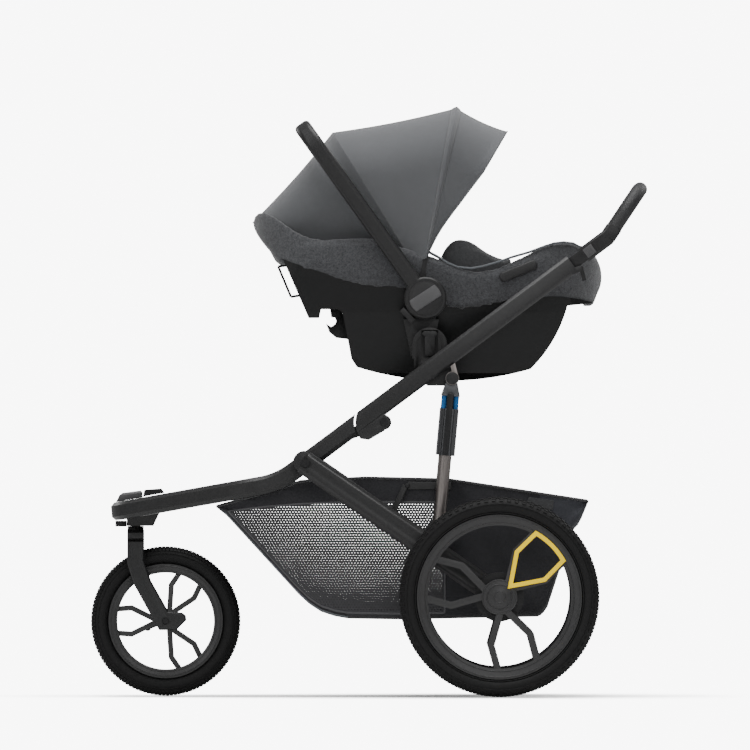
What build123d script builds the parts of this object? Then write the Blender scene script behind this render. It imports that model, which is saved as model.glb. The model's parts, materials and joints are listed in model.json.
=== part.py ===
from build123d import *
import math
import os

# Jogging stroller with an infant carrier. Front is -X, the child's left is -Y, the ground is Z = 0.
# The two sides mirror each other about Y = 0. Lengths are millimetres and angles are degrees.

# Wheels
rear_radius = 203.2
front_radius = 152.4
wheelbase = 678
rear_track_half = 301
rear_tyre_width = 43
front_tyre_width = 40
tyre_height = 36
rear_rim_height = 22
front_rim_height = 18
axle_radius = 6
running_gap = 0.05

# Frame tubes
rail_half_track = 234
tube_width = 28
lower_tube_depth = 36
upper_tube_depth = 38
arm_depth = 48
tube_chamfer = 7
lower_slope = 10.1
rail_slope = 36.7
arm_half_track = 263
nose_half_width = 95
nose_x = -511
taper_x = -258
taper_share = 0.3
nose_radius = 45
knee_radius = 155

# Main places in the side plane (x, z)
front_axle = (-415, front_radius)
rear_axle = (front_axle[0] + wheelbase, rear_radius)
steering_x = -476
arm_pivot = (-130.6, 475)
bow_hub = (113.3, 808.9)
canopy_pivot = (106, 851)

# Along the upper rail, counted from the rear-arm pivot
fold_pin_along = 177
fold_pin_drop = 30
fold_end_radius = 58
fold_gap = 3
rail_length = 675.4
shock_along = 341.5
shock_drop = 41
shock_foot_along = 323.6
shock_eye_radius = 12.5

# Handle
handle_corner_along = 767
handle_start_along = 705
grip_start_reach = 24
grip_radius = 14.5
grip_bend = 58
handle_top = (549, 1030)

# Carrier
seat_half_width = 176
bow_arm_inner = 188
bow_arm_width = 22
bow_reach = 430
bow_slope = 125.6
shell_wall = 4
cover_wall = 8
canopy_half_width = 186.5
fabric_thickness = 2.5
bow_clearance = 3.5
bow_angles = {"rear": 159.5, "mid": 121.6, "front": 78.4, "visor": 59.7}
bow_radii = {"rear": 363, "mid": 346.3, "front": 351.7, "visor": 343.8}
bow_widths = {"rear": 125, "mid": 172, "front": canopy_half_width, "visor": 172}

sides = {"left": -1, "right": 1}
nodes = {}


def keep(name, *solids):
    """One node from one solid, or from several separate solids."""
    flat = [s for shape in solids for s in shape.solids()]
    nodes[name] = flat[0] if len(flat) == 1 else Compound(children=flat)


def polar(centre, distance, angle):
    a = math.radians(angle)
    return (centre[0] + distance * math.cos(a), centre[1] + distance * math.sin(a))


def on_rail(along, off=0):
    """A point of the side plane, along the upper rail and off to its upper side."""
    return polar(polar(arm_pivot, along, rail_slope), off, rail_slope + 90)


arm_slope = math.degrees(math.atan2(rear_axle[1] - arm_pivot[1], rear_axle[0] - arm_pivot[0]))


def on_arm(along, off=0):
    return polar(polar(arm_pivot, along, arm_slope), off, arm_slope + 90)


fold_pin = on_rail(fold_pin_along, -fold_pin_drop)
handle_corner = on_rail(handle_corner_along)
handle_button_along = handle_start_along + 14
grip_slope = math.degrees(math.atan2(handle_top[1] - handle_corner[1], handle_top[0] - handle_corner[0]))
clamp_pivot = on_rail(rail_length + 9, -18)
shock_top = on_rail(shock_along, -shock_drop)
shock_foot = on_arm(shock_foot_along)


def slab(face, y_low, y_high):
    """A flat face drawn in the side plane, given thickness from y_low to y_high."""
    return extrude(Plane.XZ.offset(-y_high) * face, y_high - y_low)


def outline(*points):
    return make_face(Polyline(*points, close=True))


def pin(centre, radius, y_low, y_high):
    return slab(Pos(*centre) * Circle(radius), y_low, y_high)


def ordered(side, near, far):
    """The low and high Y of a span given by its distances from the middle plane."""
    return sorted((side * near, side * far))


def octagon(depth, width=tube_width, chamfer_size=tube_chamfer):
    return chamfer(Rectangle(width, depth).vertices(), chamfer_size)


def bar(start, end, depth, y_low, y_high, chamfer_size=0):
    """A straight bar between two side-plane points, chamfered along its long outer edges."""
    length = math.dist(start, end)
    angle = math.degrees(math.atan2(end[1] - start[1], end[0] - start[0]))
    middle = ((start[0] + end[0]) / 2, (start[1] + end[1]) / 2)
    shape = slab(Pos(*middle) * Rot(0, 0, angle) * Rectangle(length, depth), y_low, y_high)
    if chamfer_size:
        along = Vector(math.cos(math.radians(angle)), 0, math.sin(math.radians(angle)))
        long_edges = [e for e in shape.edges() if abs((e % 0.5).dot(along)) > 0.99]
        shape = chamfer(long_edges, chamfer_size)
    return shape


def spin_ring(centre, y_middle, *profile):
    """A ring about the wheel's axle from (radius, half-way along Y) points of its section."""
    section = make_face(Polyline(*[(r, y) for r, y in profile], close=True))
    ring = revolve(section, Axis.Y)
    return Pos(centre[0], y_middle, centre[1]) * ring


# Front frame
taper_start = (nose_x + taper_share * (taper_x - nose_x),
               nose_half_width + taper_share * (rail_half_track - nose_half_width))


def lower_height(x):
    knee = on_rail(-68.4)
    return knee[1] + (x - knee[0]) * math.tan(math.radians(lower_slope))


def lower_rail(side):
    """The lower rail from the nose corner, back along the slope and up to the fold joint."""
    knee = on_rail(-68.4)
    start = Vector(taper_start[0], side * taper_start[1], lower_height(taper_start[0]))
    taper = Vector(taper_x, side * rail_half_track, lower_height(taper_x))
    bend = Vector(knee[0], side * rail_half_track, knee[1])
    top = on_rail(fold_pin_along)
    finish = Vector(top[0], side * rail_half_track, top[1])
    path = FilletPolyline(start, taper, bend, finish, radius=[110, knee_radius])
    along = (taper - start).normalized()
    across = Vector(0, 0, 1).cross(along).normalized()
    section = Plane(origin=start, x_dir=across, z_dir=along) * octagon(lower_tube_depth)
    tube = sweep(section, path=path)
    tube -= pin(fold_pin, fold_end_radius + fold_gap, *ordered(side, 210, 260))
    lug_start = on_rail(fold_pin_along - fold_end_radius - 22, -4)
    lug = bar(lug_start, fold_pin, 22, *ordered(side, 230, 238))
    lug += pin(fold_pin, 15, *ordered(side, 230, 238))
    lug -= pin(fold_pin, axle_radius + running_gap, *ordered(side, 220, 250))
    rail = tube + lug
    rail -= pin(arm_pivot, axle_radius, *ordered(side, 226, 260))
    return rail.solids().sort_by(SortBy.VOLUME)[-1]


def front_crossbar():
    """The nose: a tube across the front with a round corner each side."""
    points = []
    for side in (-1, 1):
        end = Vector(taper_start[0], side * taper_start[1], lower_height(taper_start[0]))
        corner = Vector(nose_x, side * nose_half_width, lower_height(nose_x))
        points += [end, corner] if side < 0 else [corner, end]
    path = FilletPolyline(*points, radius=nose_radius)
    along = (points[1] - points[0]).normalized()
    across = Vector(0, 0, 1).cross(along).normalized()
    section = Plane(origin=points[0], x_dir=across, z_dir=along) * octagon(lower_tube_depth)
    return sweep(section, path=path)


def head_housing(crossbar, rails):
    """The steering head: a block under the nose with a web between the two rails."""
    block = slab(outline((-494, 346), (-440, 346), (-426, 376), (-494, 366)), -30, 30)
    web = slab(outline((-497, 362), (-424, 374), (-424, 398), (-497, 388)), -84, 84)
    housing = block + web
    bearing = Pos(steering_x, 0, 0) * Cylinder(13, 400, align=(Align.CENTER, Align.CENTER, Align.MIN))
    housing -= bearing
    for tube in [crossbar] + rails:
        housing -= tube
    return housing.solids().sort_by(SortBy.VOLUME)[-1]


def steering_bearings():
    rings = []
    for height in (352, 376):
        ring = Cylinder(13, 8) - Cylinder(10 + running_gap, 8)
        rings.append(Pos(steering_x, 0, height) * ring)
    return rings


def nose_cover(crossbar):
    cover = slab(outline((-519, 388), (-507, 412.5), (-462.5, 418.5), (-462.5, 388)), -62, 62)
    cover = chamfer(cover.faces().sort_by(Axis.Z)[-1].edges(), 4)
    below = slab(outline((-530, 370), (-530, 392), (-458, 405), (-458, 370)), -70, 70)
    return cover - below - crossbar


def foot_pad():
    pad = slab(outline((-461, 405.6), (-418, 413.2), (-424, 422), (-458, 419.385)), -70, 70)
    return fillet(pad.edges().filter_by(Axis.Y).sort_by(Axis.Z)[-2:], 3)


def swivel_lock():
    """A small catch that slides out under the nose to free or lock the front fork."""
    keep("swivel_lock", fillet(Box(23, 24, 12).moved(Pos(-506, 0, 350.5)).edges(), 2))


def front_frame():
    rails = [lower_rail(side) for side in sides.values()]
    crossbar = front_crossbar()
    keep("lower_rail_left", rails[0])
    keep("lower_rail_right", rails[1])
    keep("front_crossbar", crossbar)
    keep("head_housing", head_housing(crossbar, rails))
    keep("steering_bearings", *steering_bearings())
    keep("nose_cover", nose_cover(crossbar))
    keep("foot_pad", foot_pad())
    bolts = []
    for side in sides.values():
        shank = pin(arm_pivot, axle_radius, *ordered(side, 226, 278))
        head = pin(arm_pivot, 9, *ordered(side, 277.6, 282))
        bolts.append(shank + head)
    keep("arm_pivot_bolts", *bolts)


# Front fork

def fork_leg(side):
    """A flat blade: straight down from the crown, bent back, with a dropout plate at its foot."""
    blade = outline((-493, 316), (-493, 270), (-479, 226), (-428, 134), (-393, 134), (-373, 154),
                    (-374, 163), (-381, 169), (-410, 172), (-446, 236), (-459, 276), (-459, 316))
    y_low, y_high = ordered(side, 30, 43)
    leg = slab(blade, y_low, y_high)
    outer = leg.faces().sort_by(Axis.Y)[-1 if side > 0 else 0]
    leg = chamfer(outer.edges(), 2.5)
    return leg - pin(front_axle, axle_radius, y_low - 1, y_high + 1)


def front_fork():
    crown = Pos(steering_x, 0, 327) * Box(34, 86, 22)
    crown = chamfer(crown.edges().filter_by(Axis.X), 6)
    collar = Pos(steering_x, 0, 341.8) * Cylinder(16.5, 7.6)
    stem = Pos(steering_x, 0, 345) * Cylinder(10, 44, align=(Align.CENTER, Align.CENTER, Align.MIN))
    keep("fork_crown", crown + collar + stem)
    keep("fork_legs", *[fork_leg(side) for side in sides.values()])
    axle = pin(front_axle, axle_radius, -46, 46)
    nut = pin(front_axle, 9, 43, 50)
    keep("front_axle", axle + nut)


def quick_release():
    """A cam lever on the end of the axle, lying forward and down beside the dropout."""
    tip = (front_axle[0] - 37, front_axle[1] - 14)
    lever = bar(front_axle, tip, 9, 56.5, 61) + pin(tip, 7, 56.5, 61)
    across = Vector(tip[1] - front_axle[1], 0, front_axle[0] - tip[0]).normalized()
    cam_place = Plane(origin=Vector(front_axle[0], 58.6, front_axle[1]), z_dir=across)
    lever += extrude(cam_place * Circle(5), 7, both=True)
    keep("quick_release_lever", lever)


# Wheels

def tyre(centre, y_middle, radius, width):
    half = width / 2
    seat = radius - tyre_height
    return spin_ring(centre, y_middle, (seat, -half * 0.62), (seat + 10, -half * 0.94), (radius - 12, -half),
                     (radius - 4, -half * 0.72), (radius, -half * 0.3), (radius, half * 0.3),
                     (radius - 4, half * 0.72), (radius - 12, half), (seat + 10, half * 0.94),
                     (seat, half * 0.62))


def rim(centre, y_middle, radius, width, height):
    half = width / 2
    seat = radius - tyre_height
    inside = seat - height
    return spin_ring(centre, y_middle, (inside, -half * 0.72), (seat - 5, -half), (seat, -half),
                     (seat, half), (seat - 5, half), (inside, half * 0.72))


def kite(centre, scale, width, angle, reach, spread):
    """One pair of bent spokes, from the hub out to the rim."""
    shape = None
    for hand in (-1, 1):
        points = [polar(centre, 20 * scale, angle), polar(centre, 99 * scale, angle + hand * 24.8 * spread),
                  polar(centre, reach, angle + hand * 15.5 * spread)]
        spoke = trace(Polyline(*points), width)
        shape = spoke if shape is None else shape + spoke
    return shape


def spider(centre, radius, spoke_width, first_angle, spread, hub, y_low, y_high, hub_low, hub_high, height):
    """The hub with its three pairs of spokes, trimmed to the inside of the rim."""
    inside = radius - tyre_height - height
    scale = radius / rear_radius
    shape = pin(centre, hub, hub_low, hub_high)
    for step in range(3):
        spokes = kite(centre, scale, spoke_width, first_angle + 120 * step, inside + 8, spread)
        shape += slab(spokes, y_low, y_high)
    shape = shape & pin(centre, inside, hub_low - 1, hub_high + 1)
    return shape - pin(centre, axle_radius + running_gap, hub_low - 1, hub_high + 1)


def wheels():
    keep("front_tyre", tyre(front_axle, 0, front_radius, front_tyre_width))
    keep("front_rim", rim(front_axle, 0, front_radius, 30, front_rim_height))
    keep("front_spider", spider(front_axle, front_radius, 11, 60, 0.85, 17, -6, 6, -27, 27,
                                front_rim_height))
    for name, side in sides.items():
        middle = side * rear_track_half
        keep("rear_tyre_" + name, tyre(rear_axle, middle, rear_radius, rear_tyre_width))
        keep("rear_rim_" + name, rim(rear_axle, middle, rear_radius, 30, rear_rim_height))
        spokes = spider(rear_axle, rear_radius, 14, 45, 1, 36, *ordered(side, 302, 311.5),
                        *ordered(side, 288, 313), rear_rim_height)
        cap = pin(rear_axle, 18, *ordered(side, 312.6, 317)) + pin(rear_axle, 12, *ordered(side, 317, 319.5))
        keep("rear_spider_" + name, spokes + cap)


# Rear frame

cross_axle_drop = 38


def rear_frame():
    axle_tube = (rear_axle[0], rear_axle[1] - cross_axle_drop)
    for name, side in sides.items():
        y_low, y_high = ordered(side, arm_half_track - 14, arm_half_track + 14)
        nose = on_arm(-4)
        arm = bar(nose, rear_axle, arm_depth, y_low, y_high, 9)
        arm += pin(rear_axle, arm_depth / 2, y_low + 4, y_high - 4)
        arm += pin(nose, arm_depth / 2 - 3, y_low + 4, y_high - 4)
        arm -= pin(arm_pivot, axle_radius + running_gap, y_low - 1, y_high + 1)
        arm -= pin(rear_axle, axle_radius, y_low - 1, y_high + 1)
        keep("rear_arm_" + name, arm)
    tube = pin(axle_tube, 9, -241, 241)
    for side in sides.values():
        plate = bar(axle_tube, rear_axle, 26, *ordered(side, 241, 249))
        plate += pin(axle_tube, 13, *ordered(side, 241, 249)) + pin(rear_axle, 13, *ordered(side, 241, 249))
        tube += plate - pin(rear_axle, axle_radius, -250, 250)
    keep("cross_axle", tube)
    pins = [pin(rear_axle, axle_radius, *ordered(side, 241, 312)) for side in sides.values()]
    drums = [pin(rear_axle, 50, *ordered(side, 277.3, 286)) - pin(rear_axle, axle_radius, -300, 300)
             for side in sides.values()]
    keep("brake_drums", *drums)
    for side in sides.values():
        pins.append(pin(shock_foot, 4, *ordered(side, 221, 249)) + pin(shock_foot, 8, *ordered(side, 217, 221)))
    keep("rear_axle_pins", *pins)


def brake_pedal():
    """A foot pedal that turns on the cross axle beside the right wheel."""
    axle_tube = (rear_axle[0], rear_axle[1] - cross_axle_drop)
    pedal = pin(axle_tube, 14, 210, 236)
    pedal += bar(axle_tube, (axle_tube[0] + 44, axle_tube[1] + 12), 9, 210, 236)
    pedal -= pin(axle_tube, 9 + 0.3, 200, 240)
    keep("brake_pedal", pedal)


# Basket

basket_half_width = 203
basket_wall = 3


def basket_face():
    """The side outline: sloping front, round lower corner, leaning rear and a rear cuff."""
    lines = [Polyline((-311, 386), (-290, 368), (-144, 208)),
             ThreePointArc((-144, 208), (-99, 173), (-44, 159)),
             Polyline((-44, 159), (62, 157), (353, 164), (412, 338), (426, 352), (444, 397),
                      (164, 440), (-9, 444), (-140, 437), (-200, 417), (-311, 386))]
    return make_face(Curve() + lines)


def basket():
    tub = slab(basket_face(), -basket_half_width, basket_half_width)
    inner_half = basket_half_width - basket_wall
    hollow = slab(offset(basket_face(), -basket_wall), -inner_half, inner_half)
    mouth = slab(outline((-270, 392), (-140, 430), (-9, 438), (164, 434), (436, 392), (436, 500), (-270, 500)),
                 -inner_half, inner_half)
    axle_tube = (rear_axle[0], rear_axle[1] - cross_axle_drop)
    channel = pin(axle_tube, 16, -basket_half_width - 1, basket_half_width + 1)
    arch = pin(axle_tube, 19, -basket_half_width, basket_half_width)
    tub = tub - hollow - mouth + (arch & slab(basket_face(), -basket_half_width, basket_half_width)) - channel
    keep("basket", tub.solids().sort_by(SortBy.VOLUME)[-1])


# Shocks

def shock_axis(side):
    """A plane at the shock's upper pivot, looking down the shock."""
    down = Vector(shock_foot[0] - shock_top[0], 0, shock_foot[1] - shock_top[1]).normalized()
    origin = Vector(shock_top[0], side * rail_half_track, shock_top[1])
    return Plane(origin=origin, x_dir=(0, 1, 0), z_dir=down)


def by_shock(along, across):
    """A point of the side plane, measured down the shock and across it."""
    run, fall = shock_foot[0] - shock_top[0], shock_foot[1] - shock_top[1]
    length = math.hypot(run, fall)
    return (shock_top[0] + (run * along - fall * across) / length, shock_top[1] + (fall * along + run * across) / length)


def along_shock(side, start, length, section):
    return extrude(shock_axis(side).offset(start) * section, length)


def shocks():
    parts = {"shock_clevises": [], "shock_elastomers": [], "shock_sleeves": [], "shock_tubes": []}
    length = math.dist(shock_top, shock_foot)
    for side in sides.values():
        eye = pin(shock_top, 14, *ordered(side, 226, 242))
        neck = outline(by_shock(9, -12), by_shock(9, 12), by_shock(36, 19), by_shock(36, -19))
        clevis = eye + slab(neck, *ordered(side, 226, 242))
        clevis = clevis - pin(shock_top, axle_radius + running_gap, *ordered(side, 220, 250))
        parts["shock_clevises"].append(clevis)
        for lean in (-1, 1):
            pad = along_shock(side, 36, 26, Pos(0, lean * 12) * Circle(5.5))
            parts["shock_elastomers"].append(pad)
        core = along_shock(side, 36, 26, Rectangle(14, 12))
        sleeve = along_shock(side, 62, 95, Circle(19))
        for turn in range(0, 360, 45):
            groove = Pos(*polar((0, 0), 20.5, turn + 22.5)) * Circle(4)
            sleeve -= along_shock(side, 62, 95, groove)
        sleeve += core
        sleeve -= along_shock(side, 90, 70, Circle(13))
        parts["shock_sleeves"].append(sleeve)
        tube = along_shock(side, 100, length - 100 - 40, Circle(12.9) - Circle(9))
        button_place = Plane(origin=shock_axis(side).offset(218).origin, z_dir=(0, side, 0))
        tube += extrude(button_place.offset(11) * Circle(3), 3.5)
        foot = pin(shock_foot, 17, *ordered(side, 226, 242)) + along_shock(side, length - 40, 28, Circle(14))
        foot = foot & slab(Pos(*shock_foot) * Circle(90), *ordered(side, 221.4, 246.6))
        foot -= pin(shock_foot, shock_eye_radius, *ordered(side, 200, 260))
        parts["shock_tubes"].append(tube + foot)
    for name, solids in parts.items():
        keep(name, *solids)


# Upper frame

def upper_rail(side):
    """The upper rail: round end about the fold pin, hinge housing below it, bore at the top."""
    y_low, y_high = ordered(side, rail_half_track - 14, rail_half_track + 14)
    rail = bar(on_rail(fold_pin_along - 70), on_rail(rail_length), upper_tube_depth, y_low, y_high, 6)
    housing = outline(on_rail(fold_pin_along - 60, -15), on_rail(fold_pin_along - 60, -26),
                      on_rail(fold_pin_along - 46, -40), on_rail(fold_pin_along - 10, -44),
                      on_rail(fold_pin_along + 8, -40), on_rail(fold_pin_along + 12, -34),
                      on_rail(fold_pin_along + 12, -15))
    rail += slab(housing, y_low + 1, y_high - 1)
    near_pin = bar(on_rail(fold_pin_along - 80), on_rail(fold_pin_along), 140, y_low, y_high)
    round_end = pin(fold_pin, fold_end_radius, y_low, y_high)
    rail -= near_pin - round_end
    rail -= pin(fold_pin, fold_end_radius + fold_gap + 6, *ordered(side, 229.6, 238.4))
    rail -= pin(fold_pin, axle_radius, *ordered(side, 210, 260))
    bore = bar(on_rail(505), on_rail(rail_length + 5), 26, *ordered(side, rail_half_track - 9,
                                                                    rail_half_track + 9))
    rail -= bore
    for near in (220.5, 244.3):
        rail += bar(on_rail(rail_length - 12, -12), clamp_pivot, 12, *ordered(side, near, near + 3.2))
    return rail.solids().sort_by(SortBy.VOLUME)[-1]


def shock_bracket(side):
    """A plate under the rail with the shock's upper pivot pin through it."""
    x, z = shock_top
    strap = outline(on_rail(shock_along + 12, -19), on_rail(shock_along + 23, -19), (x + 13.5, z), (x + 2, z))
    plate_face = strap + Pos(x, z) * Circle(13.5)
    plate = slab(plate_face, *ordered(side, 220.5, 225.5)) + slab(plate_face, *ordered(side, 242.5, 247.5))
    pivot = pin(shock_top, axle_radius, *ordered(side, 220.5, 250)) + pin(shock_top, 8, *ordered(side, 247.5, 251))
    web = bar(on_rail(shock_along + 12, -20.5), on_rail(shock_along + 22, -20.5), 3,
              *ordered(side, 225.5, 242.5))
    return plate + pivot + web


def seat_crossbar():
    """A flat bar between the rails with an upright plate at each end for the adapters."""
    tube = Pos(136.5, 0, 635) * Box(37, 426, 8)
    for side in sides.values():
        plate = outline((96, 650), (118, 631), (155, 631), (168, 655), (168, 684), (100, 660))
        tube += slab(plate, *ordered(side, 213, 219.8))
    return tube


def adapter(side):
    """An arched block that the carrier's socket drops onto, with a well for its button."""
    arch = Pos(122, 700) * Rectangle(71, 28) + Pos(122, 714) * Circle(35.5)
    inner = Pos(122, 690) * Rectangle(53, 48) + Pos(122, 714) * Circle(26.5)
    shape = slab(arch, *ordered(side, 191, 212.9))
    shape += slab(outline((90, 690), (90, 668), (155, 668), (155, 690)), *ordered(side, 197, 212.9))
    shape = shape - slab(Pos(122, 640) * Rectangle(90, 50), *ordered(side, 180, 220))
    shape += slab(Pos(122, 712) * Rectangle(40, 44), *ordered(side, 180, 191))
    well = slab(Pos(122, 713) * Rectangle(34, 62), *ordered(side, 204, 220))
    return shape - well - slab(inner, *ordered(side, 211, 220))


def adapter_button(side):
    top = outline((106, 737), (110, 742), (134, 742), (138, 737), (129, 728), (115, 728))
    stem = Pos(122, 711) * Rectangle(20, 38)
    return slab(top, *ordered(side, 208.4, 214)) + slab(stem, *ordered(side, 208.4, 213.5))


def upper_frame():
    for name, side in sides.items():
        keep("upper_rail_" + name, upper_rail(side))
    keep("adapters", *[adapter(side) for side in sides.values()])
    keep("adapter_buttons", *[adapter_button(side) for side in sides.values()])
    keep("shock_brackets", *[shock_bracket(side) for side in sides.values()])
    keep("seat_crossbar", seat_crossbar())
    pins = []
    for side in sides.values():
        body = pin(fold_pin, axle_radius, *ordered(side, 221, 247))
        heads = pin(fold_pin, 8, *ordered(side, 247, 249)) + pin(fold_pin, 8, *ordered(side, 219.4, 221))
        pins.append(body + heads)
    keep("fold_pins", *pins)


# Handle

def handle_housing(side):
    """The corner piece of the handle, with a square well for its release button."""
    y_low, y_high = ordered(side, 219.5, 248.5)
    corner = handle_corner
    grip_start = polar(corner, grip_start_reach, grip_slope)
    shape = bar(on_rail(handle_start_along), corner, 33, y_low, y_high, 4)
    shape += bar(corner, grip_start, 31, y_low, y_high, 4)
    shape += pin(corner, 15.5, y_low + 2, y_high - 2)
    square = Pos(*on_rail(handle_button_along)) * Rot(0, 0, rail_slope) * Rectangle(21.6, 21.6)
    shape -= slab(square, *ordered(side, 240, 260))
    return shape


def handle_button(side):
    well = on_rail(handle_button_along)
    square = Pos(*well) * Rot(0, 0, rail_slope) * Rectangle(21, 21)
    shape = slab(square, *ordered(side, 244.2, 249.5))
    for step in (-6, -2, 2, 6):
        rib = Pos(*well) * Rot(0, 0, rail_slope) * Pos(step, 0) * Rectangle(1.6, 17)
        shape += slab(rib, *ordered(side, 249.5, 250.5))
    return shape


def grip():
    """One padded tube: up one side, round a corner, across, and down the other side."""
    start = polar(handle_corner, grip_start_reach, grip_slope)
    points = [Vector(start[0], -rail_half_track, start[1]), Vector(handle_top[0], -rail_half_track, handle_top[1]),
              Vector(handle_top[0], rail_half_track, handle_top[1]), Vector(start[0], rail_half_track, start[1])]
    path = FilletPolyline(*points, radius=grip_bend)
    along = (points[1] - points[0]).normalized()
    section = Plane(origin=points[0], x_dir=(0, 1, 0), z_dir=along) * Circle(grip_radius)
    straight = rail_half_track - grip_bend - 4
    crossbar = pin(handle_top, grip_radius, -straight, straight)
    room = slab(Pos(*handle_top) * Rectangle(60, 60), -straight, straight)
    return sweep(section, path=path) - room + crossbar


def clamp_lever(side):
    """A cam lever under the open end of the rail that locks the telescoping tube."""
    lever = pin(clamp_pivot, 4.8, *ordered(side, 224, 244))
    return lever + bar(clamp_pivot, polar(clamp_pivot, 26, -75), 8, *ordered(side, 225, 243))


def handle():
    stems = []
    for name, side in sides.items():
        tube = bar(on_rail(522), on_rail(handle_start_along + 1), 25.4,
                   *ordered(side, rail_half_track - 8.7, rail_half_track + 8.7))
        stems.append(tube + handle_housing(side))
        keep("handle_button_" + name, handle_button(side))
    keep("handle_stems", *stems)
    keep("clamp_levers", *[clamp_lever(side) for side in sides.values()])
    keep("handle_grip", grip())


# Carrier

def carrier_side(wall=0, open_top=False):
    """The carrier's side outline: head end, belly and foot end, with its rim or open above."""
    head = ThreePointArc((-238, 963), (-212, 921), (-175, 886))
    stand = Polyline((-175, 886), (-124, 769), (-103, 769), (-99, 787), (-66, 787))
    throat = ThreePointArc((-66, 787), (-57, 781.5), (-53, 771))
    front = Polyline((-53, 771), (-37, 686), (-26, 669))
    belly = ThreePointArc((-26, 669), (150, 641), (327, 665))
    foot = ThreePointArc((327, 665), (373, 724), (402, 794))
    heel = Polyline((402, 794), (450, 799))
    toe = ThreePointArc((450, 799), (475, 850), (426, 914))
    if open_top:
        top = Polyline((426, 914), (426, 1060), (-238, 1060), (-238, 963))
    else:
        top = Spline((426, 914), (394, 922), (323, 901), (206, 869), (138, 894), (62, 918), (7, 934),
                     (-107, 932), (-162, 952), (-229, 984), (-238, 963))
    face = make_face(Curve() + [head, stand, throat, front, belly, foot, heel, toe, top])
    return offset(face, -wall) if wall else face


def carrier_block(wall=0, open_top=False):
    """Side outline, cross-section and plan of the carrier, cut against each other."""
    long_way = slab(carrier_side(wall, open_top), -200, 200)
    half = seat_half_width - wall
    right = [(126 - wall, 640 + wall), (143 - wall, 657), (150 - wall, 700), (164 - wall, 780), (half, 880),
             (half, 1070)]
    section = outline(*right, *[(-y, z) for y, z in reversed(right)])
    across = extrude(Plane.YZ.offset(-300) * section, 900)
    plan = Pos(118.5, 0) * RectangleRounded(713 - 2 * wall, 2 * half, 110)
    down = extrude(Plane.XY.offset(600) * plan, 600)
    return long_way & across & down


def below_cover():
    """Everything under the lower edge of the fabric cover."""
    edge = Spline((-178, 889), (-95, 861), (25, 835), (69, 830), (120, 812), (160, 795), (206, 793),
                  (284, 808), (355, 813), (452, 801))
    rest = Polyline((452, 801), (520, 790), (520, 600), (-300, 600), (-300, 889), (-178, 889))
    return slab(make_face(Curve() + [edge, rest]), -220, 220)


def carrier_body():
    outer = carrier_block()
    low = below_cover()
    shell = (outer - carrier_block(shell_wall, True)) & low
    shell = shell.solids().sort_by(SortBy.VOLUME)[-1]
    keep("carrier_shell", shell)
    cover = (outer - carrier_block(cover_wall, True)) - low
    keep("seat_cover", cover.solids().sort_by(SortBy.VOLUME)[-1])
    return outer


def strap_along(points, y_middle, width, thickness):
    """A flat strap in the side plane that follows a line of points."""
    face = trace(Polyline(*points), thickness)
    return slab(face, y_middle - width / 2, y_middle + width / 2)


def harness():
    back = [(-120, 889), (56, 743), (150, 714)]
    pieces = [strap_along(back, side * 42, 32, 3) for side in sides.values()]
    pieces.append(Pos(184, 0, 720) * Rot(0, -12, 0) * fillet(Box(58, 52, 15).edges(), 3))
    keep("harness", *pieces)


def seat_pad():
    """The seat's padding, with a raised bolster each side of the hips."""
    filling = outline((-300, 980), (-205, 955), (60, 735), (180, 700), (300, 760), (440, 880), (520, 880),
                      (520, 600), (-300, 600))
    pad = carrier_block(cover_wall + 1, True) & slab(filling, -200, 200)
    for side in sides.values():
        bump = make_face(Curve() + [Spline((140, 890), (190, 930), (250, 902), (290, 893)),
                                    Polyline((290, 893), (290, 740), (140, 700), (140, 890))])
        pad += slab(bump, *ordered(side, 112, 140))
    keep("seat_pad", pad.solids().sort_by(SortBy.VOLUME)[-1])


def side_bracket(side, outer):
    """The socket over the adapter, with the bow's pivot boss and a belt tab above it."""
    block = slab(outline((69, 766), (92, 766), (92, 800), (134, 800), (134, 766), (141, 766), (133, 728),
                         (133, 692), (84, 692)), *ordered(side, 130, 187))
    slot = slab(Pos(122, 700) * Rectangle(41.2, 69), *ordered(side, 179.4, 195))
    boss = pin(bow_hub, 22, *ordered(side, 150, 196))
    tab = bar(polar(bow_hub, 53, 205), polar(bow_hub, 53, 242), 11, *ordered(side, 150, 187))
    tab += bar(polar(bow_hub, 53, 205), polar(bow_hub, 53, 242), 11, *ordered(side, 187, 206))
    return (block - slot + boss + tab - outer).solids().sort_by(SortBy.VOLUME)[-1]


def head_latch(outer):
    """The catch hook under the head end, and the wire loop on its back."""
    hook = outline((-89, 758), (-82, 740), (-68, 728.5), (-30, 724), (-30, 789), (-81, 789), (-80, 782),
                   (-78, 770), (-71, 770), (-68, 763), (-70, 757), (-78, 751))
    plate = slab(hook, -12, 12)
    plate = (plate - outer).solids().sort_by(SortBy.VOLUME)[-1]
    corners = [(-168, 876), (-186, 874), (-160, 812), (-141, 815)]
    wire = None
    for side in sides.values():
        for start, end in zip(corners[:-1], corners[1:]):
            rod = bar(start, end, 5, *ordered(side, 35, 40))
            wire = rod if wire is None else wire + rod
    wire += bar((-186, 874), (-184, 869), 5, -40, 40)
    return plate, (wire - outer).solids().sort_by(SortBy.VOLUME)[-1]


def carrier_fittings(outer):
    keep("side_brackets", *[side_bracket(side, outer) for side in sides.values()])
    keep("head_latch", *head_latch(outer))


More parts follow.
